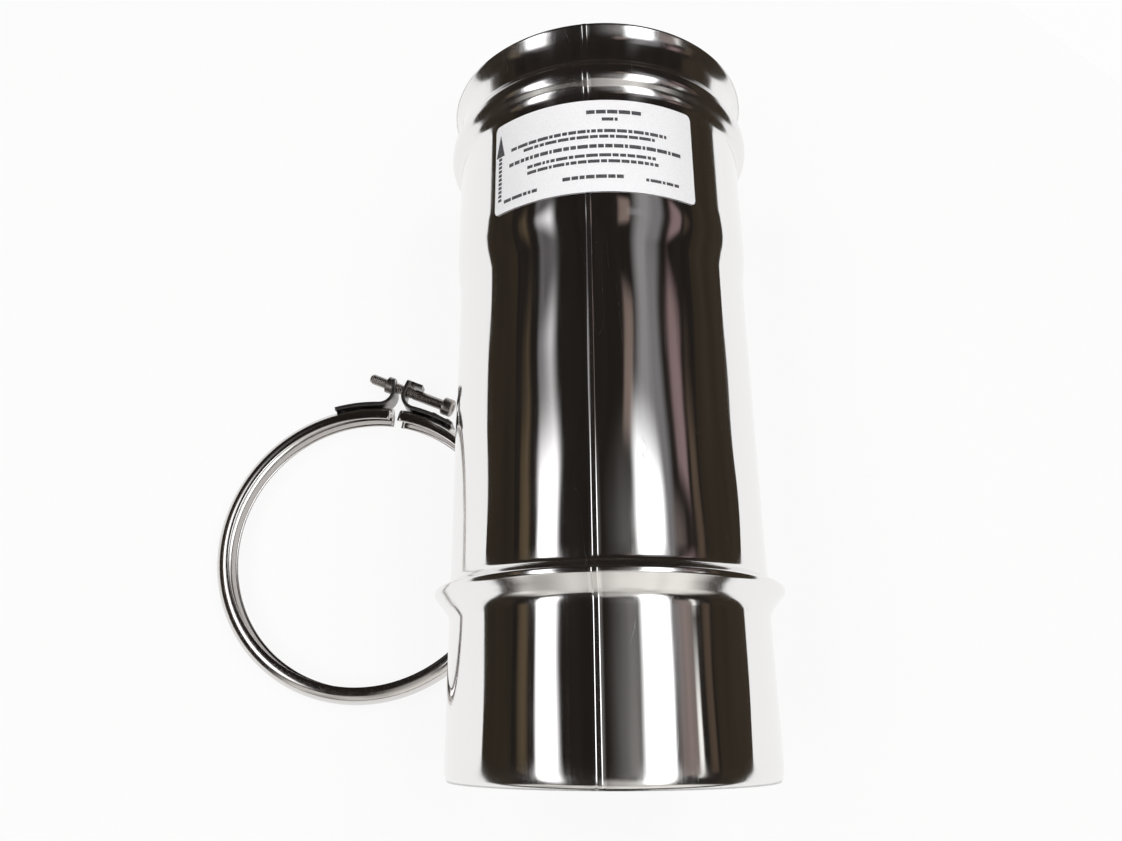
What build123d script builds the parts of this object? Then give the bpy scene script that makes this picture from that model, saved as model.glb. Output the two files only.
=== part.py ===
from build123d import *
from math import asin, cos, degrees, radians, sin, sqrt
import os

# Single wall flue pipe lying on its two beads, with its locking band taken off and laid beside it.
# The pipe's axis is +Y, from the spigot to the socket mouth, and +Z is up.
# The origin is on the axis, where the spigot's straight wall starts behind its lead-in.

# Pipe, rolled from one sheet
pipe_length = 327.0
wall = 0.5
body_r = 70.0
lead_in_length = 6.0
lead_in_depth = 1.2
spigot_length = 57.0
bead_crown_r = 76.6
spigot_cone_length = 12.0
spigot_crown_width = 2.0
spigot_bead_back = 3.0
shoulder_length = 15.0
socket_step = 1.8
socket_length = 51.0
socket_bead_rise = 11.0
socket_crown_width = 4.0
socket_bead_fall = 6.0
groove_width = 4.0
groove_step = 0.5
mouth_flare = 3.4
mouth_length = 14.0

# Weld seam along the sheet's joined edges
seam_width = 1.6
seam_height = 0.12
seam_side_deg = 6.5

# Paper label wrapped on the socket
label_length = 48.0
label_width = 97.5
label_thickness = 0.2
label_glue = 0.05
label_edge_gap = 1.5
label_side_deg = 5.0

# Locking band, a rolled channel with broad bevels, cut open at one place
band_width = 14.0
band_outer_r = 79.7
band_sheet = 0.8
band_depth = 8.3
band_bevel = 4.1
band_gap = 4.9
band_gap_deg = 8.8
band_centre_y = 105.3
band_from_bead = 8.5

# Lugs, bent from strip, one on each end of the band, their legs spread apart
lug_sheet = 2.0
lug_width = 12.0
lug_height = 15.6
lug_bend_r = 7.0
lug_foot_length = 24.0
lug_corner_r = 2.5
head_leg_deg = 22.0
head_leg_offset = 19.5
thread_leg_deg = -5.0
thread_leg_offset = 18.5
collar_length = 3.0
collar_wall = 1.4
fold_length = 7.0
fold_width = 7.0

# Rivets through lug feet and band
rivet_r = 1.5
rivet_head_r = 2.6
rivet_head_height = 1.3
rivet_tail_r = 2.2
rivet_tail_height = 0.8
rivet_edge = 3.5
rivet_pitch = 8.5
rivet_clearance = 0.05

# Socket head screw
screw_r = 3.0
screw_length = 45.0
screw_head_r = 5.0
screw_head_height = 6.0
screw_key = 5.0
screw_key_depth = 3.0
screw_tip_chamfer = 0.6
screw_head_chamfer = 0.5
screw_above_band = 9.7
screw_tip_reach = 40.8
thread_clearance = 0.3
screw_hole_clearance = 0.6

# Sizes that follow from the ones above
socket_r = body_r + socket_step
groove_r = socket_r + groove_step
mouth_r = groove_r + mouth_flare
spigot_crown_start = spigot_length + spigot_cone_length
spigot_crown_end = spigot_crown_start + spigot_crown_width
mouth_y = pipe_length - lead_in_length
groove_end = mouth_y - mouth_length
groove_start = groove_end - groove_width
socket_crown_end = groove_start - socket_bead_fall
socket_crown_start = socket_crown_end - socket_crown_width
socket_bead_start = socket_crown_start - socket_bead_rise
shoulder_end = socket_bead_start - socket_length
shoulder_start = shoulder_end - shoulder_length
floor_z = -bead_crown_r
top_deg = -90
full_turn = 360
half_turn = 180
quarter_turn = 90

os.makedirs("parts", exist_ok=True)

# Pipe: one bent line of sheet, from the spigot end to the mouth, turned about the axis
skin = Polyline(
    (body_r - lead_in_depth, -lead_in_length),
    (body_r, 0),
    (body_r, spigot_length),
    (bead_crown_r, spigot_crown_start),
    (bead_crown_r, spigot_crown_end),
    (body_r, spigot_crown_end + spigot_bead_back),
    (body_r, shoulder_start),
    (socket_r, shoulder_end),
    (socket_r, socket_bead_start),
    (bead_crown_r, socket_crown_start),
    (bead_crown_r, socket_crown_end),
    (groove_r, groove_start),
    (groove_r, groove_end),
    (mouth_r, mouth_y),
)
sheet_section = make_face(offset(skin.wire(), amount=wall, side=Side.LEFT).edges())
sheet = revolve(sheet_section, axis=Axis.Y, revolution_arc=full_turn)

# The seam is a low ridge rooted in the middle of the wall
seam_root = make_face(offset(skin.wire(), amount=wall / 2, side=Side.LEFT).edges())
seam_ridge = make_face(offset(skin.wire(), amount=seam_height, side=Side.RIGHT).edges())
seam_deg = degrees(seam_width / body_r)
seam = revolve(seam_root + seam_ridge, axis=Axis.Y, revolution_arc=seam_deg)
seam = seam.rotate(Axis.Y, top_deg - seam_side_deg - seam_deg / 2)
flue_pipe = sheet + seam
export_step(flue_pipe, "parts/flue_pipe.step")

# Label: a thin curved sheet just below the socket bead, lying on the seam's crest
label_r = socket_r + seam_height + label_glue
label_mid_y = socket_bead_start - label_edge_gap - label_length / 2
label_section = Pos(label_r + label_thickness / 2, label_mid_y) * Rectangle(label_thickness, label_length)
label_deg = degrees(label_width / label_r)
label = revolve(label_section, axis=Axis.Y, revolution_arc=label_deg)
label = label.rotate(Axis.Y, top_deg - label_side_deg - label_deg / 2)
export_step(label, "parts/label.step")

# Band place: flat on the floor beside the spigot, off the pipe
band_half = band_width / 2
bead_reach = sqrt(bead_crown_r**2 - (bead_crown_r - band_width) ** 2)
band_reach = sqrt(band_outer_r**2 - (band_centre_y - spigot_crown_end) ** 2)
band_place = Pos(-(bead_reach + band_reach + band_from_bead), band_centre_y, floor_z)

# Band: bevelled channel, open side inward, with its gap a little to the right of +Y
band_lip_r = band_outer_r - band_depth
channel = Polyline(
    (band_lip_r, 0),
    (band_outer_r - band_bevel, 0),
    (band_outer_r, band_bevel),
    (band_outer_r, band_width - band_bevel),
    (band_outer_r - band_bevel, band_width),
    (band_lip_r, band_width),
)
channel_face = make_face(offset(channel.wire(), amount=band_sheet, side=Side.LEFT).edges())
channel_section = Plane.XZ * channel_face
gap_deg = degrees(band_gap / band_outer_r)
band_ring = revolve(channel_section, axis=Axis.Z, revolution_arc=full_turn - gap_deg)
band_ring = band_ring.rotate(Axis.Z, quarter_turn - band_gap_deg + gap_deg / 2)

# Lug strip: a straight leg, then a bend into a foot that follows the band's crown
leg_top = band_outer_r + lug_height
lug_low = (band_width - lug_width) / 2
lug_outer_bend_r = lug_bend_r + lug_sheet
foot_deg = degrees(lug_foot_length / band_outer_r)


def bend_start_deg(leg_offset):
    return degrees(asin((lug_outer_bend_r - leg_offset) / (band_outer_r + lug_outer_bend_r)))


def lug_strip(leg_offset):
    bend_deg = bend_start_deg(leg_offset)
    bend_v = (band_outer_r + lug_outer_bend_r) * cos(radians(bend_deg))
    leg_line = Line((-leg_offset, leg_top), (-leg_offset, bend_v))
    bend_centre = (lug_outer_bend_r - leg_offset, bend_v)
    bend_arc = CenterArc(bend_centre, lug_outer_bend_r, half_turn, quarter_turn - bend_deg)
    foot_arc = CenterArc((0, 0), band_outer_r, quarter_turn - bend_deg, -foot_deg)
    strip_line = Wire([leg_line.edge(), bend_arc.edge(), foot_arc.edge()])
    section = make_face(offset(strip_line, amount=lug_sheet, side=Side.LEFT).edges())
    strip = Pos(0, 0, lug_low) * extrude(section, amount=lug_width)
    return fillet(strip.edges().filter_by(Axis.X).sort_by(Axis.Y)[-2:], lug_corner_r)


head_turn = Rotation(0, 0, -head_leg_deg)
thread_turn = Rotation(0, 0, -thread_leg_deg)

# Rivets: two through each foot, set square to the crown
rivet_seat_r = sqrt((band_outer_r - band_sheet) ** 2 - rivet_tail_r**2)
shank_length = band_outer_r + lug_sheet - rivet_seat_r
rivet_bore_length = 2 * (shank_length + rivet_head_height + rivet_tail_height)
on_axis = (Align.CENTER, Align.CENTER, Align.MIN)
hang_down = (Align.CENTER, Align.CENTER, Align.MAX)
head = Cylinder(rivet_head_r, rivet_head_height, align=on_axis)
shank = Cylinder(rivet_r, shank_length, align=hang_down)
tail = Pos(0, 0, -shank_length) * Cylinder(rivet_tail_r, rivet_tail_height, align=hang_down)
rivet = head + shank + tail
rivet_stand = Pos(0, band_outer_r + lug_sheet, band_half) * Rotation(top_deg, 0, 0)
rivet_places = []
for along in (lug_foot_length - rivet_edge, lug_foot_length - rivet_edge - rivet_pitch):
    along_deg = degrees(along / band_outer_r)
    right_turn = Rotation(0, 0, -head_leg_deg - bend_start_deg(head_leg_offset) - along_deg)
    left_turn = Rotation(0, 0, -thread_leg_deg + bend_start_deg(thread_leg_offset) + along_deg)
    rivet_places.append(right_turn * rivet_stand)
    rivet_places.append(left_turn * rivet_stand)
rivet_bore = Cylinder(rivet_r + rivet_clearance, rivet_bore_length)
bores = [place * rivet_bore for place in rivet_places]
rivets = [band_place * place * rivet for place in rivet_places]
export_step(Compound(children=rivets), "parts/lug_rivets.step")

clamp_band = band_place * (band_ring - bores)
export_step(clamp_band, "parts/clamp_band.step")

# Screw line: square to the head lug's leg, at middle height of the band
screw_v = band_outer_r + screw_above_band
screw_line = head_turn * Pos(0, screw_v, band_half) * Rotation(0, quarter_turn, 0)

# Head lug: plain hole, and the top of the leg folded over outward
fold = Pos(lug_sheet / 2 - head_leg_offset, leg_top, band_half) * Box(
    lug_sheet / 2 + fold_length, lug_sheet, fold_width, align=(Align.MIN, Align.MAX, Align.CENTER)
)
leg_through = Pos(0, 0, -head_leg_offset) * Cylinder(
    screw_r + screw_hole_clearance, 2 * lug_sheet, align=on_axis
)
head_lug = head_turn * (lug_strip(head_leg_offset) + fold) - screw_line * leg_through - bores
export_step(band_place * head_lug, "parts/head_lug.step")

# Thread lug: hole drawn out into a collar, in line with the screw, that carries the thread
spread = radians(head_leg_deg - thread_leg_deg)
collar_reach = (lug_sheet + collar_length) / cos(spread)
crossing_u = (thread_leg_offset - screw_v * sin(spread)) / cos(spread)
collar_body_r = screw_r + thread_clearance + collar_wall
collar_start = Pos(0, 0, crossing_u)
collar_body = collar_start * Cylinder(collar_body_r, collar_reach, align=hang_down)
collar_through = collar_start * Cylinder(screw_r + thread_clearance, 4 * collar_reach)
gap_side = thread_turn * Pos(thread_leg_offset, screw_v, 0) * Box(
    leg_top, leg_top, band_width, align=(Align.MIN, Align.CENTER, Align.MIN)
)
thread_lug = thread_turn * mirror(lug_strip(thread_leg_offset), about=Plane.YZ)
thread_lug = thread_lug + (screw_line * collar_body - gap_side)
thread_lug = thread_lug - screw_line * collar_through - bores
export_step(band_place * thread_lug, "parts/thread_lug.step")

# Screw: round head with a hexagon recess, its tip past the thread lug
under_head = screw_length - screw_tip_reach
shaft = Pos(0, 0, under_head) * Cylinder(screw_r, screw_length, align=hang_down)
shaft = chamfer(shaft.edges().sort_by(Axis.Z)[0], screw_tip_chamfer)
cap = Pos(0, 0, under_head) * Cylinder(screw_head_r, screw_head_height, align=on_axis)
cap = chamfer(cap.edges().sort_by(Axis.Z)[-1], screw_head_chamfer)
recess_face = RegularPolygon(screw_key / 2, 6, major_radius=False)
recess = Pos(0, 0, under_head + screw_head_height) * extrude(recess_face, amount=-screw_key_depth)
clamp_screw = band_place * screw_line * (shaft + cap - recess)
export_step(clamp_screw, "parts/clamp_screw.step")
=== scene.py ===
# %% [markdown]
# # Stainless flue pipe and its locking band
# A length of single wall flue pipe lies on a white table. It is one sheet of
# bright stainless steel, rolled, welded along one line and then beaded near
# both ends. The band that locks two pipes together lies next to it.
# The script loads the measured solids first. Then it spins smoother skins over
# the sheet metal, gives every piece its finish, and sets up the table, the room
# and the camera.

import math
import random

import bmesh
import bpy
from mathutils import Matrix, Vector, noise


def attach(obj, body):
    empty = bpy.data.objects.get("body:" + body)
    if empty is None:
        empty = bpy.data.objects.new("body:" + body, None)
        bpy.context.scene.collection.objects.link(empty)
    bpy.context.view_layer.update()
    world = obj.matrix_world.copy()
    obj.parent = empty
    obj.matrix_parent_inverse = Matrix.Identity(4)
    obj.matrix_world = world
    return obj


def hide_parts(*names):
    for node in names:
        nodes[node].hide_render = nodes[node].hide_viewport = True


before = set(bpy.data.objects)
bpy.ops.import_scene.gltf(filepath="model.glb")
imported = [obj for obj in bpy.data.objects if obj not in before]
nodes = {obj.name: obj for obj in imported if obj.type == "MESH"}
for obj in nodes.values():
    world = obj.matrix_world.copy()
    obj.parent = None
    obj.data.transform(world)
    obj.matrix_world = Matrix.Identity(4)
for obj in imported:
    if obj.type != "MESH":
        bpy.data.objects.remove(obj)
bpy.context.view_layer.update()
scene = bpy.context.scene
scene.view_settings.view_transform = "Standard"
print("loaded", sorted(nodes))

# %% [markdown]
# ## Sizes
# Everything is in metres. The sizes in this script repeat those of the solids,
# so each skin lies where its solid lies. A solid's box could be measured
# instead, but it doesn't tell a bend or the thickness of a sheet.
# The pipe lies on the crowns of its two beads, so they give the floor.

# %% Sizes that several pieces share
MM = 0.001
MERGE = 0.01 * MM
CROWN_R = 76.6 * MM
FLOOR_Z = -CROWN_R
BAND_CENTRE = Vector((-124.587, 105.3, -76.6)) * MM
BAND_WIDTH = 14.0 * MM
PIPE_BODY = "pipe_and_band"
SCREW_BODY = "screw"
print("floor at", round(FLOOR_Z, 4))

# %% [markdown]
# ## Helpers for bent sheet
# A bent sheet is drawn as a line with round corners. The line gets a second,
# inner line one sheet thickness away, and the closed loop is spun. A spun
# single line with a Solidify modifier would also do, but two lines keep the
# thickness exact at the tight bends.

# %% Bend a line and move it sideways
BEND_STEPS = 7


def rounded(points, radii, steps=BEND_STEPS):
    """Points of a line whose inner corners are arcs of the given radii."""
    line = [Vector(points[0])]
    for before, corner, after, radius in zip(points, points[1:], points[2:], radii):
        corner = Vector(corner)
        back = (Vector(before) - corner).normalized()
        ahead = (Vector(after) - corner).normalized()
        half = back.angle(ahead) / 2
        reach = radius / math.tan(half)
        centre = corner + (back + ahead).normalized() * (radius / math.sin(half))
        start = corner + back * reach - centre
        end = corner + ahead * reach - centre
        for i in range(steps + 1):
            line.append(centre + start.slerp(end, i / steps) * radius)
    line.append(Vector(points[-1]))
    return line


def offset_line(line, distance):
    """The same line moved sideways, to the left of its direction."""
    moved = []
    for i, point in enumerate(line):
        before = line[max(i - 1, 0)]
        after = line[min(i + 1, len(line) - 1)]
        along = (after - before).normalized()
        moved.append(point + Vector((-along.y, along.x)) * distance)
    return moved


def closed_loop(bm, places):
    """Vertices at the places and the edges that join them in a ring."""
    verts = [bm.verts.new(place) for place in places]
    edges = [bm.edges.new(pair) for pair in zip(verts, verts[1:] + verts[:1])]
    return verts + edges


print("bends are drawn in", BEND_STEPS, "steps")

# %% [markdown]
# ## Helpers for pieces and materials
# Every finished piece sits at the origin with its place in its mesh, and rides
# on one of the bodies of the measured model. Materials are built from nodes,
# so the small helpers below add one node each and return its output.

# %% Make a piece


def make_object(name, bm, body, material, smooth=True):
    """A finished piece: mesh object at the origin, riding on a body."""
    bmesh.ops.recalc_face_normals(bm, faces=bm.faces)
    for face in bm.faces:
        face.smooth = smooth
    mesh = bpy.data.meshes.new(name)
    bm.to_mesh(mesh)
    bm.free()
    piece = bpy.data.objects.new(name, mesh)
    scene.collection.objects.link(piece)
    piece.data.materials.append(material)
    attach(piece, body)
    print(name, len(mesh.polygons), "faces")
    return piece


# %% Add nodes to a material
EVEN = (1.0, 1.0, 1.0)


def new_material(name):
    """A node material with its tree and its shader."""
    material = bpy.data.materials.new(name)
    material.use_nodes = True
    tree = material.node_tree
    return material, tree, tree.nodes["Principled BSDF"]


def add_place(tree):
    """The place of a point in metres, in the frame of the whole object."""
    return tree.nodes.new("ShaderNodeTexCoord").outputs["Object"]


def add_attribute(tree, name):
    """A value that the mesh keeps at each of its vertices."""
    node = tree.nodes.new("ShaderNodeAttribute")
    node.attribute_name = name
    return node.outputs["Fac"]


def add_math(tree, operation, *values):
    """One step of arithmetic on numbers and on other nodes' outputs."""
    node = tree.nodes.new("ShaderNodeMath")
    node.operation = operation
    for socket, value in zip(node.inputs, values):
        if isinstance(value, bpy.types.NodeSocket):
            tree.links.new(value, socket)
        else:
            socket.default_value = value
    return node.outputs["Value"]


def add_noise(tree, coordinates, scale, stretch, detail=4.0):
    """A noise pattern drawn out along one direction."""
    mapping = tree.nodes.new("ShaderNodeMapping")
    mapping.inputs["Scale"].default_value = stretch
    tree.links.new(coordinates, mapping.inputs["Vector"])
    pattern = tree.nodes.new("ShaderNodeTexNoise")
    pattern.inputs["Scale"].default_value = scale
    pattern.inputs["Detail"].default_value = detail
    tree.links.new(mapping.outputs["Vector"], pattern.inputs["Vector"])
    return pattern.outputs["Fac"]


def add_range(tree, value, low, high, to_low, to_high):
    """Map a value from one range to another."""
    node = tree.nodes.new("ShaderNodeMapRange")
    node.inputs["From Min"].default_value = low
    node.inputs["From Max"].default_value = high
    node.inputs["To Min"].default_value = to_low
    node.inputs["To Max"].default_value = to_high
    tree.links.new(value, node.inputs["Value"])
    return node.outputs["Result"]


def add_mix(tree, share, first, second):
    """Two shaders mixed: all of the second where the share is one."""
    mix = tree.nodes.new("ShaderNodeMixShader")
    tree.links.new(share, mix.inputs["Fac"])
    tree.links.new(first, mix.inputs[1])
    tree.links.new(second, mix.inputs[2])
    return mix.outputs["Shader"]


print("node helpers are ready")

# %% [markdown]
# ## Steel finishes
# The pipe mirrors the table and the room. Rolling leaves very fine lines along
# the sheet and handling leaves a soft haze, so the roughness and a weak bump
# follow noise that is stretched along the pipe. A plain value would look like
# chrome plate, and an image of brushed metal would show its edges.
# The small pieces are cut from strip and handled more, so they are darker and
# duller, and a Bevel node softens their edges without more faces.

# %% Bright steel
HAZE_SCALE = 26.0
HAZE_DETAIL = 3.0
HAZE_RANGE = (0.14, 0.40)
LINE_DEPTH = 0.1 * MM
EDGE_SAMPLES = 6


def steel(name, colour, roughness, line_scale, stretch, bump, soften=0.0):
    """Steel with fine lines, a haze between two roughnesses and soft edges."""
    material, tree, shader = new_material(name)
    place = add_place(tree)
    lines = add_noise(tree, place, line_scale, stretch)
    haze = add_noise(tree, place, HAZE_SCALE, EVEN, HAZE_DETAIL)
    both = add_math(tree, "MULTIPLY", lines, haze)
    rough = add_range(tree, both, *HAZE_RANGE, *roughness)
    relief = tree.nodes.new("ShaderNodeBump")
    relief.inputs["Strength"].default_value = bump
    relief.inputs["Distance"].default_value = LINE_DEPTH
    tree.links.new(lines, relief.inputs["Height"])
    if soften:
        edge = tree.nodes.new("ShaderNodeBevel")
        edge.samples = EDGE_SAMPLES
        edge.inputs["Radius"].default_value = soften
        tree.links.new(edge.outputs["Normal"], relief.inputs["Normal"])
    shader.inputs["Base Color"].default_value = (*colour, 1.0)
    shader.inputs["Metallic"].default_value = 1.0
    tree.links.new(rough, shader.inputs["Roughness"])
    tree.links.new(relief.outputs["Normal"], shader.inputs["Normal"])
    return material


along_pipe = (1.0, 0.02, 1.0)
pipe_steel = steel(
    "pipe_steel",
    colour=(0.86, 0.85, 0.845),
    roughness=(0.03, 0.10),
    line_scale=900.0,
    stretch=along_pipe,
    bump=0.012,
)
band_steel = steel(
    "band_steel",
    colour=(0.70, 0.68, 0.665),
    roughness=(0.10, 0.20),
    line_scale=500.0,
    stretch=EVEN,
    bump=0.02,
)
lug_steel = steel(
    "lug_steel",
    colour=(0.30, 0.285, 0.275),
    roughness=(0.28, 0.42),
    line_scale=700.0,
    stretch=EVEN,
    bump=0.05,
    soften=0.6 * MM,
)
screw_steel = steel(
    "screw_steel",
    colour=(0.40, 0.37, 0.35),
    roughness=(0.20, 0.34),
    line_scale=800.0,
    stretch=EVEN,
    bump=0.04,
)
rivet_steel = steel(
    "rivet_steel",
    colour=(0.80, 0.79, 0.78),
    roughness=(0.10, 0.20),
    line_scale=700.0,
    stretch=EVEN,
    bump=0.03,
    soften=0.2 * MM,
)
print("five steels made")

# %% [markdown]
# ### Wear on the pipe
# Rollers dull the sheet where they form it, and use leaves hair scratches in
# patches. The weld is duller too and finely rippled. The mesh keeps two values,
# formed and weld, that tell where. A second material on those faces would give
# a hard border. A scratch is the thin line where a noise field crosses one
# level, which makes long curved hairs that never repeat.

# %% Formed zones, scratches and weld
FORMED_ROUGHNESS = 0.085
SCRATCH_SCALE = 55.0
SCRATCH_STRETCH = (1.0, 0.16, 1.0)
SCRATCH_LEVEL = 0.52
SCRATCH_WIDTH = 0.0012
SCRATCH_ROUGHNESS = 0.22
WORN_SCALE = 38.0
WORN_RANGE = (0.56, 0.60)
RIPPLE_SCALE = 600.0
RIPPLE_RANGE = (0.3, 0.7)
WELD_ROUGHNESS = (0.12, 0.20)
COARSE_DETAIL = 2.0


def add_formed(material):
    """Make the steel duller where rollers have formed it, and scratch it."""
    tree = material.node_tree
    roughness = tree.nodes["Principled BSDF"].inputs["Roughness"]
    place = add_place(tree)
    field = add_noise(tree, place, SCRATCH_SCALE, SCRATCH_STRETCH, COARSE_DETAIL)
    worn = add_noise(tree, place, WORN_SCALE, EVEN, COARSE_DETAIL)
    off_level = add_math(tree, "SUBTRACT", field, SCRATCH_LEVEL)
    away = add_math(tree, "ABSOLUTE", off_level)
    hair = add_range(tree, away, SCRATCH_WIDTH, 0.0, 0.0, SCRATCH_ROUGHNESS)
    patches = add_range(tree, worn, *WORN_RANGE, 0.0, 1.0)
    plain = roughness.links[0].from_socket
    scratched = add_math(tree, "MULTIPLY_ADD", hair, patches, plain)
    formed = add_attribute(tree, "formed")
    rolled = add_math(tree, "MULTIPLY_ADD", formed, FORMED_ROUGHNESS, scratched)
    tree.links.new(rolled, roughness)


def add_weld(material):
    """Roughen and ripple the steel where the weld value is one."""
    tree = material.node_tree
    roughness = tree.nodes["Principled BSDF"].inputs["Roughness"]
    ripple = add_noise(tree, add_place(tree), RIPPLE_SCALE, EVEN, COARSE_DETAIL)
    dull = add_range(tree, ripple, *RIPPLE_RANGE, *WELD_ROUGHNESS)
    choice = tree.nodes.new("ShaderNodeMix")
    tree.links.new(add_attribute(tree, "weld"), choice.inputs["Factor"])
    tree.links.new(roughness.links[0].from_socket, choice.inputs["A"])
    tree.links.new(dull, choice.inputs["B"])
    tree.links.new(choice.outputs["Result"], roughness)


add_formed(pipe_steel)
add_weld(pipe_steel)
print("pipe steel has", len(pipe_steel.node_tree.nodes), "nodes")

# %% [markdown]
# ## Pipe
# The outline runs from the spigot end to the flared mouth. Each bead swells in
# a hollow curve and turns over in a round crown, as a roller leaves it, and the
# mouth opens like a trumpet. A Screw modifier could turn the outline, but spin
# is used in two sweeps: a narrow, fine one that carries the weld, then the rest
# of the turn in wider steps.

# %% Outline of the pipe
WALL = 0.5 * MM
BODY_R = 70.0 * MM
SOCKET_R = 71.8 * MM
GROOVE_R = 72.3 * MM
MOUTH_R = 75.7 * MM
LEAD_IN = 1.2 * MM
GROOVE_RISE = 0.3 * MM
LONGEST_RUN = 5 * MM

# Radius, then place along the pipe and bend radius in millimetres
corners = [
    (BODY_R - LEAD_IN, -6, 0),  # spigot end
    (BODY_R, -2, 14),  # lead-in
    (BODY_R, 60.5, 9),  # spigot bead, foot
    (CROWN_R, 68.2, 2),
    (CROWN_R, 70.2, 1.2),
    (BODY_R, 73.8, 3),  # spigot bead, back
    (BODY_R, 216, 110),  # shoulder
    (SOCKET_R, 231, 110),
    (SOCKET_R, 286.4, 6),  # socket bead, foot
    (CROWN_R, 291, 6),
    (CROWN_R, 297, 5),
    (GROOVE_R, 303, 4),  # groove
    (GROOVE_R + GROOVE_RISE, 316.8, 13),  # flare
    (MOUTH_R, 321, 0),  # mouth
]
outline = [(radius, along * MM) for radius, along, bend in corners]
bends = [bend * MM for radius, along, bend in corners[1:-1]]


def fine(line, longest):
    """The line with its long runs cut into shorter ones."""
    dense = [line[0]]
    for point in line[1:]:
        start = dense[-1]
        gap = point - start
        pieces = max(1, math.ceil(gap.length / longest))
        for i in range(1, pieces + 1):
            dense.append(start + gap * (i / pieces))
    return dense


outside = fine(rounded(outline, bends), LONGEST_RUN)
print("outline of", len(outside), "points")

# %% [markdown]
# ### Waves and weld line
# Rolled sheet is never quite round. Waves of up to about a millimetre are what
# bends the reflections. A bump in the material could bend them too, but the
# shape itself would stay straight, so the vertices move. The beads hold the
# sheet true, so the waves are free only on the open walls, and strongest on the
# top. The weld is a low ridge.

# %% Waves, weld and formed zones
SEAM_ANGLE = math.radians(-6.5)
SEAM_WIDTH = 2.4 * MM
SEAM_HEIGHT = 0.14 * MM
SEAM_SLOPE = 0.3
SEAM_BARE = 0.75
FORMED_ZONES = [(-6, -2), (62, 74), (285, 303), (311, 321)]  # in millimetres
FORMED_FADE = 6 * MM
BODY_MID, BODY_HALF = 0.147, 0.074
SPIGOT_MID, SPIGOT_HALF = 0.03, 0.035
HELD, FREE_BODY, FREE_SPIGOT = 0.05, 0.95, 0.3
WAVES_AROUND, WAVES_ALONG, WAVE_START = 1.7, 12, 4.2
WAVE_HEIGHT, SMALL_WAVE_HEIGHT, SMALL_WAVE_SCALE = 1.5, 0.2, 2.3
SIDE_SHARE, TOP_SHARE = 0.25, 0.75


def sheet_wave(radial, along):
    """How far the sheet leaves the true round at one place."""
    body = max(0.0, 1 - ((along - BODY_MID) / BODY_HALF) ** 4)
    spigot = max(0.0, 1 - ((along - SPIGOT_MID) / SPIGOT_HALF) ** 2)
    open_wall = HELD + FREE_BODY * body + FREE_SPIGOT * spigot
    around_x = radial.x * WAVES_AROUND
    around_z = radial.z * WAVES_AROUND + WAVE_START
    spot = Vector((around_x, along * WAVES_ALONG, around_z))
    facing = SIDE_SHARE + TOP_SHARE * max(0.0, radial.z) ** 2
    broad = noise.noise(spot) * WAVE_HEIGHT
    small = noise.noise(spot * SMALL_WAVE_SCALE) * SMALL_WAVE_HEIGHT
    return (broad + small) * facing * MM * open_wall


def formed_share(along):
    """One where rollers have formed the sheet, fading to zero beside it."""
    gaps = [(low * MM - along, along - high * MM, 0.0) for low, high in FORMED_ZONES]
    away = min(max(gap) for gap in gaps)
    return max(0.0, 1 - away / FORMED_FADE)


def shape_sheet(bm):
    """Move the true round pipe into waves and weld, and keep what was done."""
    welded = bm.verts.layers.float.new("weld")
    formed = bm.verts.layers.float.new("formed")
    for vert in bm.verts:
        radial = Vector((vert.co.x, 0, vert.co.z)).normalized()
        around = math.atan2(vert.co.x, vert.co.z)
        side = abs(around - SEAM_ANGLE) * BODY_R / (SEAM_WIDTH / 2)
        lift = SEAM_HEIGHT * min(1.0, max(0.0, 1 - side) / SEAM_SLOPE)
        vert[formed] = formed_share(vert.co.y)
        vert[welded] = 1.0 if side < SEAM_BARE else 0.0
        vert.co += radial * (sheet_wave(radial, vert.co.y) + lift)


print("weld line", round(SEAM_WIDTH / MM, 2), "mm wide")

# %% Spin the pipe
WELD_STEPS = 12
TURN_STEPS = 288


def spin_pipe():
    bm = bmesh.new()
    loop = outside + offset_line(outside, WALL)[::-1]
    weld_angle = SEAM_WIDTH / BODY_R
    turn = Matrix.Rotation(SEAM_ANGLE - math.pi / 2 - weld_angle / 2, 3, "Y")
    ring = closed_loop(bm, [turn @ Vector((p.x, p.y, 0)) for p in loop])
    about = {"axis": (0, 1, 0), "cent": (0, 0, 0)}
    weld = bmesh.ops.spin(bm, geom=ring, angle=weld_angle, steps=WELD_STEPS, **about)
    last = [e for e in weld["geom_last"] if not isinstance(e, bmesh.types.BMFace)]
    rest = 2 * math.pi - weld_angle
    bmesh.ops.spin(bm, geom=last, angle=rest, steps=TURN_STEPS, **about)
    bmesh.ops.remove_doubles(bm, verts=bm.verts, dist=MERGE)
    shape_sheet(bm)
    return bm


pipe = make_object("pipe_skin", spin_pipe(), PIPE_BODY, pipe_steel)
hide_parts("flue_pipe")

# %% [markdown]
# ## Band
# The band is sheet rolled to a half-round channel and cut open at one place.
# Its two lips point inwards. A curve with a bevel profile could make it, but
# the same spin as the pipe's keeps the sheet's thickness, and the two cut ends
# are then filled.

# %% Spin the band
BAND_R = 79.7 * MM
BAND_LIP_R = 71.4 * MM
BAND_SHEET = 0.8 * MM
BAND_GAP = 4.9 * MM
BAND_GAP_ANGLE = math.radians(8.8)
BAND_ROUND = BAND_WIDTH / 2 * 0.98
BAND_BEND_STEPS = 12
BAND_STEPS = 240


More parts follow.
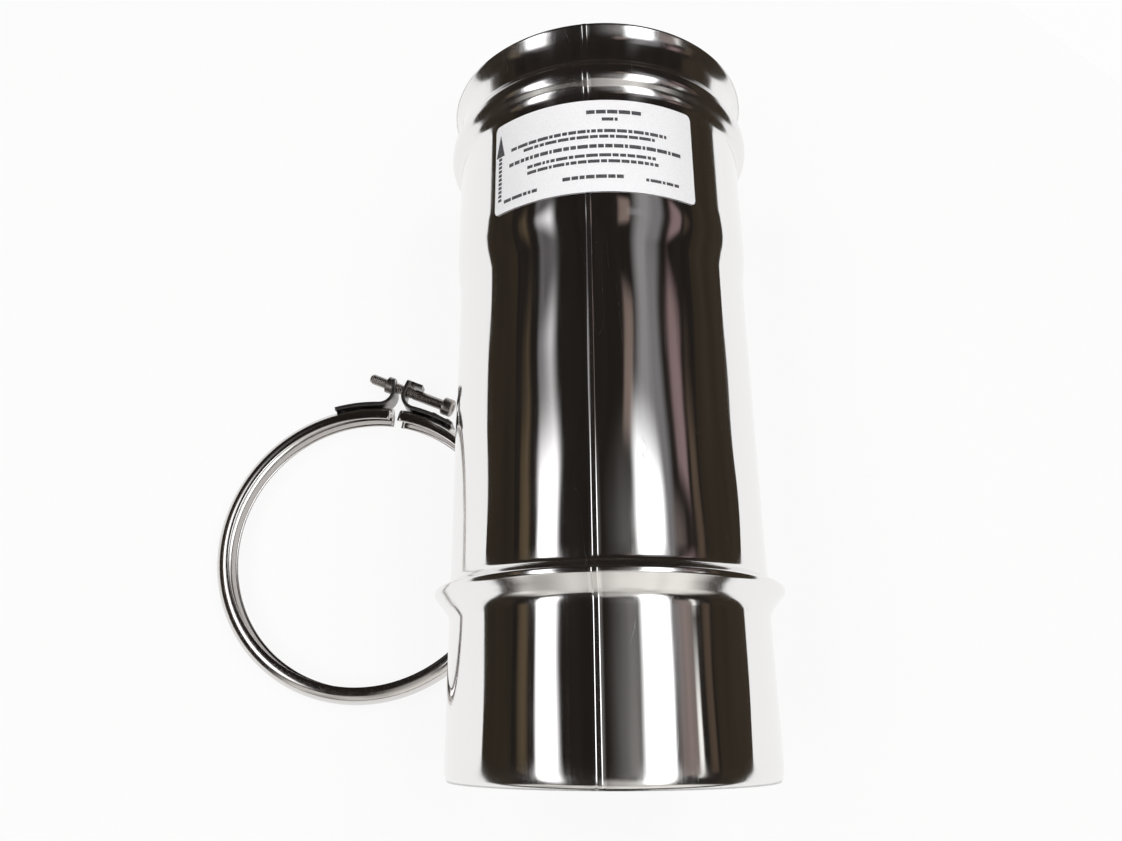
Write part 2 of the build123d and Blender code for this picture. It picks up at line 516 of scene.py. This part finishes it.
def spin_band():
    bm = bmesh.new()
    channel = [
        (BAND_LIP_R, 0),
        (BAND_R, 0),
        (BAND_R, BAND_WIDTH),
        (BAND_LIP_R, BAND_WIDTH),
    ]
    line = rounded(channel, [BAND_ROUND, BAND_ROUND], BAND_BEND_STEPS)
    loop = line + offset_line(line, BAND_SHEET)[::-1]
    gap = BAND_GAP / BAND_R
    turn = Matrix.Rotation(math.pi / 2 - BAND_GAP_ANGLE + gap / 2, 3, "Z")
    ring = closed_loop(bm, [turn @ Vector((p.x, 0, p.y)) for p in loop])
    about = {"axis": (0, 0, 1), "cent": (0, 0, 0)}
    bmesh.ops.spin(bm, geom=ring, angle=2 * math.pi - gap, steps=BAND_STEPS, **about)
    bmesh.ops.holes_fill(bm, edges=[e for e in bm.edges if e.is_boundary], sides=0)
    bmesh.ops.translate(bm, verts=bm.verts, vec=BAND_CENTRE)
    return bm


band = make_object("band_skin", spin_band(), PIPE_BODY, band_steel)
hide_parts("clamp_band")

# %% [markdown]
# ## Screw
# A socket head screw: a turned blank with a knurled head and a six sided
# recess, then a rolled thread. The blank is one line spun once round. The knurl
# and the recess only move vertices of that spin, which is lighter than cutting
# them with Booleans. The thread is one zigzag line along the shank, swept once
# around while it moves on by one pitch.

# %% Sizes of the screw
SCREW_ANGLE = math.radians(22.0)
SCREW_UP = 89.4 * MM
TIP, NECK, END = -40.8 * MM, 4.2 * MM, 10.2 * MM
THREAD_END = -14.0 * MM
THREAD_START = TIP + 0.5 * MM
PITCH = 1.0 * MM
SHANK_R, CORE_R = 3.0 * MM, 2.42 * MM
ROOT_R, CREST_R = 2.4 * MM, 2.94 * MM
CREST_FROM, CREST_TO = 0.42 * PITCH, 0.55 * PITCH
THREAD_STEPS = 24
HEAD_R, HEAD_STEPS = 5.0 * MM, 72
KNURL_DEGREES, KNURL_SHARE = 5, 0.985
RECESS_R, RECESS_FLAT = 2.7 * MM, 2.5 * MM
NEAR = 0.01 * MM
screw_place = (
    Matrix.Translation(BAND_CENTRE)
    @ Matrix.Rotation(-SCREW_ANGLE, 4, "Z")
    @ Matrix.Translation((0, SCREW_UP, BAND_WIDTH / 2))
    @ Matrix.Rotation(math.pi / 2, 4, "Y")
)
blank = [
    (0, TIP),
    (2.0 * MM, TIP),
    (CORE_R, THREAD_START),
    (CORE_R, THREAD_END),
    (SHANK_R, THREAD_END + 0.6 * MM),
    (SHANK_R, NECK - 0.3 * MM),
    (3.3 * MM, NECK),
    (4.6 * MM, NECK),
    (4.95 * MM, NECK + 0.4 * MM),
    (HEAD_R, NECK + 0.6 * MM),
    (HEAD_R, END - 1.0 * MM),
    (4.8 * MM, END - 0.4 * MM),
    (4.3 * MM, END),
    (3.0 * MM, END),
    (RECESS_R, END - 0.3 * MM),
    (RECESS_R, END - 3.0 * MM),
    (0, END - 3.4 * MM),
]
print("screw", round((END - TIP) / MM, 1), "mm long over all")

# %% Turn the screw


def spin_line(bm, line, steps, step_up=0.0):
    """Spin a line once round, or along a thread where each step goes up."""
    verts = [bm.verts.new((r, 0, z)) for r, z in line]
    edges = [bm.edges.new(pair) for pair in zip(verts, verts[1:])]
    about = {"axis": (0, 0, 1), "cent": (0, 0, 0), "dvec": (0, 0, step_up)}
    about["use_merge"] = not step_up
    bmesh.ops.spin(bm, geom=verts + edges, angle=2 * math.pi, steps=steps, **about)
    bmesh.ops.remove_doubles(bm, verts=bm.verts, dist=MERGE)


def knurl_and_recess(bm):
    """Press in every second line of the head, and make the recess six sided."""
    for vert in bm.verts:
        radius = math.hypot(vert.co.x, vert.co.y)
        turn = math.degrees(math.atan2(vert.co.y, vert.co.x))
        if abs(radius - HEAD_R) < NEAR and round(turn / KNURL_DEGREES) % 2:
            vert.co.xy *= KNURL_SHARE
        if abs(radius - RECESS_R) < NEAR:
            flat = math.radians(turn % 60 - 30)
            vert.co.xy *= RECESS_FLAT / math.cos(flat) / radius


def turn_screw():
    bm = bmesh.new()
    spin_line(bm, blank, HEAD_STEPS)
    knurl_and_recess(bm)
    zigzag = []
    for i in range(round((THREAD_END - TIP) / PITCH) - 1):
        foot = THREAD_START + i * PITCH
        zigzag += [(ROOT_R, foot), (CREST_R, foot + CREST_FROM), (CREST_R, foot + CREST_TO)]
    spin_line(bm, zigzag, THREAD_STEPS, PITCH / THREAD_STEPS)
    bmesh.ops.holes_fill(bm, edges=[e for e in bm.edges if e.is_boundary], sides=0)
    bmesh.ops.transform(bm, matrix=screw_place, verts=bm.verts)
    return bm


screw = make_object("screw_skin", turn_screw(), SCREW_BODY, screw_steel)
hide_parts("clamp_screw")

# %% [markdown]
# ## Lugs and rivets
# The lugs are bent from plain strip and hold the screw, and two rivets fix each
# of them to the band. Their solids already have the right shape, so they stay
# and only take a finish: dark, dull strip, and brighter rivets, whose heads are
# rubbed bare.

# %% Finish the lugs and rivets
finishes = {"head_lug": lug_steel, "thread_lug": lug_steel, "lug_rivets": rivet_steel}
for name, finish in finishes.items():
    nodes[name].data.materials.clear()
    nodes[name].data.materials.append(finish)
print("finished", sorted(finishes))

# %% [markdown]
# ## Label
# White self-adhesive paper with faint fibre, wrapped on the socket. A grid is
# bent onto the curve, and its columns get shorter near the ends, which rounds
# the corners. Cutting round corners out of the grid would leave a ragged edge.

# %% Paper and ink
FIBRE_SCALE = 1400.0
FIBRE_DETAIL = 3.0
FIBRE_RANGE = (0.35, 0.65)
PAPER_ROUGHNESS = 0.55


def paper(name, low, high):
    """A matt surface whose colour wanders between two values."""
    material, tree, shader = new_material(name)
    fibre = add_noise(tree, add_place(tree), FIBRE_SCALE, EVEN, FIBRE_DETAIL)
    ramp = tree.nodes.new("ShaderNodeValToRGB")
    for stop, position, colour in zip(ramp.color_ramp.elements, FIBRE_RANGE, (low, high)):
        stop.position = position
        stop.color = (*colour, 1.0)
    tree.links.new(fibre, ramp.inputs["Fac"])
    tree.links.new(ramp.outputs["Color"], shader.inputs["Base Color"])
    shader.inputs["Roughness"].default_value = PAPER_ROUGHNESS
    return material


label_paper = paper("label_paper", (0.84, 0.84, 0.855), (0.90, 0.90, 0.915))
label_ink = paper("label_ink", (0.03, 0.03, 0.032), (0.10, 0.10, 0.105))
print("paper and ink made")

# %% Cut the label
LABEL_R = 72.17 * MM
LABEL_SHEET = 0.2 * MM
LABEL_WIDTH = 97.5 * MM
LABEL_HEIGHT = 48.0 * MM
LABEL_CORNER = 2.5 * MM
LABEL_MID_Y = 256.5 * MM
LABEL_ANGLE = math.radians(-5.0)
LABEL_COLUMNS, LABEL_ROWS = 96, 4
EVEN_SHARE, CROWDED_SHARE = 0.6, 0.4


def on_label(across, up, lift):
    """A place on the label's curve, from its middle, in metres."""
    angle = LABEL_ANGLE + across / LABEL_R
    radius = LABEL_R + lift
    return Vector((radius * math.sin(angle), LABEL_MID_Y + up, radius * math.cos(angle)))


def cut_label():
    """The label's sheet, its columns crowded near the ends for the corners."""
    bm = bmesh.new()
    bmesh.ops.create_grid(bm, x_segments=LABEL_COLUMNS, y_segments=LABEL_ROWS, size=0.5)
    for vert in bm.verts:
        swing = math.sin(vert.co.x * math.pi) / 2
        across = LABEL_WIDTH * (EVEN_SHARE * vert.co.x + CROWDED_SHARE * swing)
        inset = LABEL_CORNER - min(LABEL_CORNER, LABEL_WIDTH / 2 - abs(across))
        drop = LABEL_CORNER - math.sqrt(max(0.0, LABEL_CORNER**2 - inset**2))
        vert.co = on_label(across, vert.co.y * (LABEL_HEIGHT - 2 * drop), 0)
    bmesh.ops.solidify(bm, geom=list(bm.faces), thickness=LABEL_SHEET)
    return bm


label = make_object("label_skin", cut_label(), PIPE_BODY, label_paper, smooth=False)
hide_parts("label")

# %% [markdown]
# ### Print
# The print is a plain flow arrow and grey bars where lines of words would be.
# Bars in the paper's material would need a mask for each, so they are thin
# curved patches that lie on the paper.

# %% Print on the label
INK_SHEET = 0.02 * MM
INK_LIFT = 0.03 * MM
INK_COLUMN = 1.2
WORD_SEED = 5
WORD_LENGTHS = (1.2, 5.5)
WORD_GAP = 0.6
SHORTEST_END = 1
SHAFT_STEPS, SHAFT_PITCH = 11, 2.2
ARROW_TAPER = 0.97

# Left end, right end, height on the label and height of the bars, in millimetres
bar_rows = [
    (-2, 23, 17.6, 2.0),
    (5, 13, 13.6, 1.7),
    (-39, 36, 7.4, 1.7),
    (-32, 29, 4.4, 1.6),
    (-40, 43, -0.6, 1.9),
    (-30, 29, -5.4, 1.6),
    (-30, 31, -8.5, 1.6),
    (-43, -25, -18.6, 1.7),
    (-13, 14, -16.4, 1.8),
    (24, 40, -17.0, 1.5),
]


def patch(bm, left, right, low, high, taper=0.0):
    """A thin printed bar that follows the label's curve, in millimetres."""
    columns = max(1, math.ceil((right - left) / INK_COLUMN))
    grid = bmesh.ops.create_grid(bm, x_segments=columns, y_segments=2, size=1.0)
    middle, half = (left + right) / 2, (right - left) / 2
    for vert in grid["verts"]:
        height = (vert.co.y + 1) / 2
        across = middle + half * vert.co.x * (1 - taper * height)
        up = low + (high - low) * height
        vert.co = on_label(across * MM, up * MM, INK_LIFT)


def print_label():
    bm = bmesh.new()
    words = random.Random(WORD_SEED)
    for left, right, up, height in bar_rows:
        start = left
        while start < right - SHORTEST_END:
            end = min(right, start + words.uniform(*WORD_LENGTHS))
            patch(bm, start, end, up - height / 2, up + height / 2)
            start = end + WORD_GAP
    for step in range(SHAFT_STEPS):
        patch(bm, -46.6, -44.6, -17.5 + step * SHAFT_PITCH, -16.0 + step * SHAFT_PITCH)
    patch(bm, -48.2, -43.0, 6.6, 18.4, taper=ARROW_TAPER)
    bmesh.ops.solidify(bm, geom=list(bm.faces), thickness=INK_SHEET)
    return bm


ink = make_object("label_print", print_label(), PIPE_BODY, label_ink, smooth=False)

# %% [markdown]
# ## Table and surroundings
# The pipe lies on a white table. Camera, mirror and glass rays see the table
# and all that surrounds it as white, through the Light Path node, so the flanks
# of the pipe mirror white. Brighter lamps would give a white ground too, but
# they would burn out the label. The table keeps a tenth of its own shading, and
# with it the shadow of the object.

# %% Table
GROUND_WHITE = (0.985, 0.985, 0.985, 1.0)
TABLE_COLOUR = (0.86, 0.86, 0.86)
TABLE_GLOW = 0.9
TABLE_CORNERS = [(-0.85, -0.5), (1.15, -0.5), (0.05, 0.75), (-0.95, 1.15)]
MATT = 0.9


def flat_card(name, centre, size_x, size_y, material):
    """A level rectangle of the stage, which isn't part of the object."""
    bm = bmesh.new()
    bmesh.ops.create_grid(bm, x_segments=1, y_segments=1, size=0.5)
    for vert in bm.verts:
        vert.co = Vector((vert.co.x * size_x, vert.co.y * size_y, 0)) + Vector(centre)
    mesh = bpy.data.meshes.new(name)
    bm.to_mesh(mesh)
    bm.free()
    card = bpy.data.objects.new(name, mesh)
    scene.collection.objects.link(card)
    mesh.materials.append(material)
    return card


def white_rays(tree):
    """One for camera, mirror and glass rays, which see white surroundings."""
    rays = tree.nodes.new("ShaderNodeLightPath").outputs
    mirrored = add_math(tree, "MAXIMUM", rays["Is Camera Ray"], rays["Is Glossy Ray"])
    return add_math(tree, "MAXIMUM", mirrored, rays["Is Transmission Ray"])


def seen_white(name, colour, share):
    """A matt surface that is seen mostly as plain white."""
    material, tree, shader = new_material(name)
    shader.inputs["Base Color"].default_value = (*colour, 1.0)
    shader.inputs["Roughness"].default_value = MATT
    shader.inputs["Specular IOR Level"].default_value = 0.0
    white = tree.nodes.new("ShaderNodeEmission")
    white.inputs["Color"].default_value = GROUND_WHITE
    portion = add_range(tree, white_rays(tree), 0.0, 1.0, 0.0, share)
    mixed = add_mix(tree, portion, shader.outputs["BSDF"], white.outputs["Emission"])
    tree.links.new(mixed, tree.nodes["Material Output"].inputs["Surface"])
    return material


table_white = seen_white("table_white", TABLE_COLOUR, TABLE_GLOW)
table = flat_card("table", (0, 0, FLOOR_Z), 1.0, 1.0, table_white)
for index, (x, y) in zip(table.data.polygons[0].vertices, TABLE_CORNERS):
    table.data.vertices[index].co = (x, y, FLOOR_Z)
print("table lies under the beads")

# %% Surroundings
DIM_ROOM = (0.032, 0.024, 0.017, 1.0)

world = bpy.data.worlds.new("room")
scene.world = world
world.use_nodes = True
tree = world.node_tree
dim = tree.nodes["Background"]
dim.inputs["Color"].default_value = DIM_ROOM
white = tree.nodes.new("ShaderNodeBackground")
white.inputs["Color"].default_value = GROUND_WHITE
mixed = add_mix(tree, white_rays(tree), dim.outputs["Background"], white.outputs["Background"])
tree.links.new(mixed, tree.nodes["World Output"].inputs["Surface"])
print("surroundings are white")

# %% [markdown]
# ## What the steel mirrors
# A mirror looks like its room, and a pipe's top mirrors what hangs above it.
# Soft cards stand for the ceiling, the lamps, the boards and the walls of a dim
# room. A picture of a room could stand around the scene instead, but cards are
# easy to move until each streak lies right. Only mirror rays see them. A card
# fades out towards its edges and a noise makes it uneven, so no streak has a
# hard outline.

# %% Soft cards
CLOUD_STRETCH = (1.6, 0.5, 1.0)
CLOUD_DETAIL = 3.0
CLOUD_RANGE = (0.35, 0.65)


def add_fade(tree, value, middle, reach, core):
    """One over the core of a card, fading to zero at its edge."""
    shift = add_range(tree, value, middle - reach, middle + reach, -1.0, 1.0)
    fade = tree.nodes.new("ShaderNodeMapRange")
    fade.interpolation_type = "SMOOTHSTEP"
    fade.inputs["From Min"].default_value = 1.0
    fade.inputs["From Max"].default_value = core
    tree.links.new(add_math(tree, "ABSOLUTE", shift), fade.inputs["Value"])
    return fade.outputs["Result"]


def soft_glow(name, colour, strength, centre, half, mottle, core, dim):
    """Uneven light that covers a card's core and fades to its edges."""
    material = bpy.data.materials.new(name)
    material.use_nodes = True
    tree = material.node_tree
    tree.nodes.clear()
    place = add_place(tree)
    parts = tree.nodes.new("ShaderNodeSeparateXYZ")
    tree.links.new(place, parts.inputs["Vector"])
    fades = [
        add_fade(tree, parts.outputs[axis], middle, reach, core)
        for axis, middle, reach in zip("XYZ", centre, half)
        if reach
    ]
    cloud = add_noise(tree, place, mottle, CLOUD_STRETCH, CLOUD_DETAIL)
    light = tree.nodes.new("ShaderNodeEmission")
    light.inputs["Color"].default_value = (*colour, 1.0)
    uneven = add_range(tree, cloud, *CLOUD_RANGE, strength * dim, strength)
    tree.links.new(uneven, light.inputs["Strength"])
    clear = tree.nodes.new("ShaderNodeBsdfTransparent")
    cover = add_math(tree, "MULTIPLY", *fades)
    mixed = add_mix(tree, cover, clear.outputs["BSDF"], light.outputs["Emission"])
    out = tree.nodes.new("ShaderNodeOutputMaterial")
    tree.links.new(mixed, out.inputs["Surface"])
    return material


def mirror_only(card):
    """Leave a card to mirror rays alone."""
    card.visible_camera = False
    card.visible_diffuse = False
    card.visible_shadow = False


def overhead(name, centre, half, colour, strength, mottle=0.6, core=0.45, dim=0.45):
    """A level card, as wide as half says in x and y."""
    finish = soft_glow(name, colour, strength, centre, (*half, 0), mottle, core, dim)
    mirror_only(flat_card(name, centre, 2 * half[0], 2 * half[1], finish))


def upright(name, centre, half, colour, strength, mottle=0.8, core=0.97, dim=0.7):
    """A standing card, as wide as half says in x or y, and in z."""
    finish = soft_glow(name, colour, strength, centre, half, mottle, core, dim)
    card = flat_card(name, (0, 0, 0), 2, 2 * half[2], finish)
    for vert in card.data.vertices:
        across, up = vert.co.x, vert.co.y
        vert.co = Vector((across * half[0], across * half[1], up)) + Vector(centre)
    mirror_only(card)


print("cards can be hung")

# %% Ceiling and lamps
DARK_CEILING = (1.0, 0.82, 0.72)
DAYLIGHT = (1.0, 0.97, 0.93)

overhead("ceiling", (0.0, 0.4, 1.60), (4.8, 4.2), DARK_CEILING, 0.020, 1.5, 0.98, 0.7)
overhead("window_behind", (0.55, -1.60, 1.58), (0.95, 1.15), DAYLIGHT, 0.85, core=0.55)
overhead("lamp_left", (-1.50, -0.1, 1.50), (0.52, 1.30), (1.0, 0.99, 1.0), 5.0, 0.3, 0.42)
overhead("lamp_left_far", (-1.45, 1.1, 1.51), (0.50, 0.75), (1.0, 0.93, 0.96), 0.20)
overhead("lamp_right", (0.84, -0.2, 1.52), (0.42, 1.05), (0.98, 0.99, 1.0), 4.0, 0.3, 0.5)
overhead("lamp_right_far", (1.08, 0.8, 1.53), (0.56, 0.95), (1.0, 0.96, 0.98), 0.42)
print("ceiling and lamps hang")

# %% Boards, strip lamp and walls
SIDE_WALL = (1.0, 0.78, 0.56)
END_WALL = (1.0, 0.78, 0.60)
PALE_WALL = (1.0, 0.97, 0.92)

overhead("grey_board", (0.36, -0.1, 1.54), (0.50, 0.9), (1.0, 0.96, 0.93), 0.24, 1.2, 0.1)
overhead("pink_board", (1.75, 0.0, 1.55), (0.55, 0.7), (1.0, 0.80, 0.74), 0.30)
overhead("pink_strip", (2.30, 1.15, 1.555), (0.55, 0.5), (1.0, 0.70, 0.70), 0.24)
overhead("warm_patch", (0.42, 0.78, 1.545), (0.17, 0.24), (1.0, 0.76, 0.66), 0.24)
overhead("strip_lamp", (2.30, -0.3, 1.56), (0.22, 0.7), (1.0, 0.99, 0.95), 1.5)
overhead("cupboard_left", (-3.00, 0.6, 1.57), (0.7, 1.4), (1.0, 0.74, 0.46), 0.10)
overhead("cupboard_right", (3.60, 0.6, 1.59), (0.7, 1.4), (1.0, 0.72, 0.52), 0.10)
upright("pale_wall", (0.0, -1.75, 0.9), (2.6, 0, 1.05), PALE_WALL, 0.95, core=0.6, dim=0.45)
upright("wall_left", (-4.6, 0.4, 0.3), (0, 4.2, 1.5), SIDE_WALL, 0.034)
upright("wall_right", (4.6, 0.4, 0.3), (0, 4.2, 1.5), SIDE_WALL, 0.042)
upright("wall_far", (0.0, 4.4, 0.3), (4.8, 0, 1.5), END_WALL, 0.030)
upright("wall_near", (0.0, -3.6, 0.3), (4.8, 0, 1.5), END_WALL, 0.030)
print("boards and walls stand")

# %% [markdown]
# ## Light
# Two large panels light the object softly. Mirror rays don't see them, because
# the cards already give the streaks. Small lamps would give hard shadows that
# a bright room doesn't have.

# %% Panels
PANEL_SIZE = (1.2, 2.0)
PANEL_POWER = 29.0


def panel(name, place):
    """A soft lamp that points down."""
    light = bpy.data.lights.new(name, "AREA")
    light.shape = "RECTANGLE"
    light.size, light.size_y = PANEL_SIZE
    light.energy = PANEL_POWER
    lamp = bpy.data.objects.new(name, light)
    lamp.location = place
    scene.collection.objects.link(lamp)
    lamp.visible_camera = False
    lamp.visible_glossy = False


panel("panel_left", (-1.2, 0.0, 1.5))
panel("panel_right", (0.9, 0.2, 1.5))
print("two panels light the table")

# %% [markdown]
# ## Camera
# The camera stands above the spigot and looks down along the pipe, as in the
# photograph. It could be placed by eye, but its place and lens come from
# fitting the pipe's outline.

# %% Camera
lens = bpy.data.cameras.new("camera")
lens.sensor_width = 36.0
lens.lens = 28.197
lens.shift_x = 0.0074
lens.shift_y = -0.0092
lens.clip_start = 0.01
camera = bpy.data.objects.new("camera", lens)
scene.collection.objects.link(camera)
camera.location = (-0.02018, 0.0144, 0.39709)
yaw = Matrix.Rotation(math.radians(0.606), 3, "Y")
tilt = Matrix.Rotation(math.radians(19.899), 3, "X")
roll = Matrix.Rotation(math.radians(-0.18), 3, "Z")
camera.rotation_euler = (yaw @ tilt @ roll).to_euler()
scene.camera = camera
print("camera at", [round(value, 3) for value in camera.location])
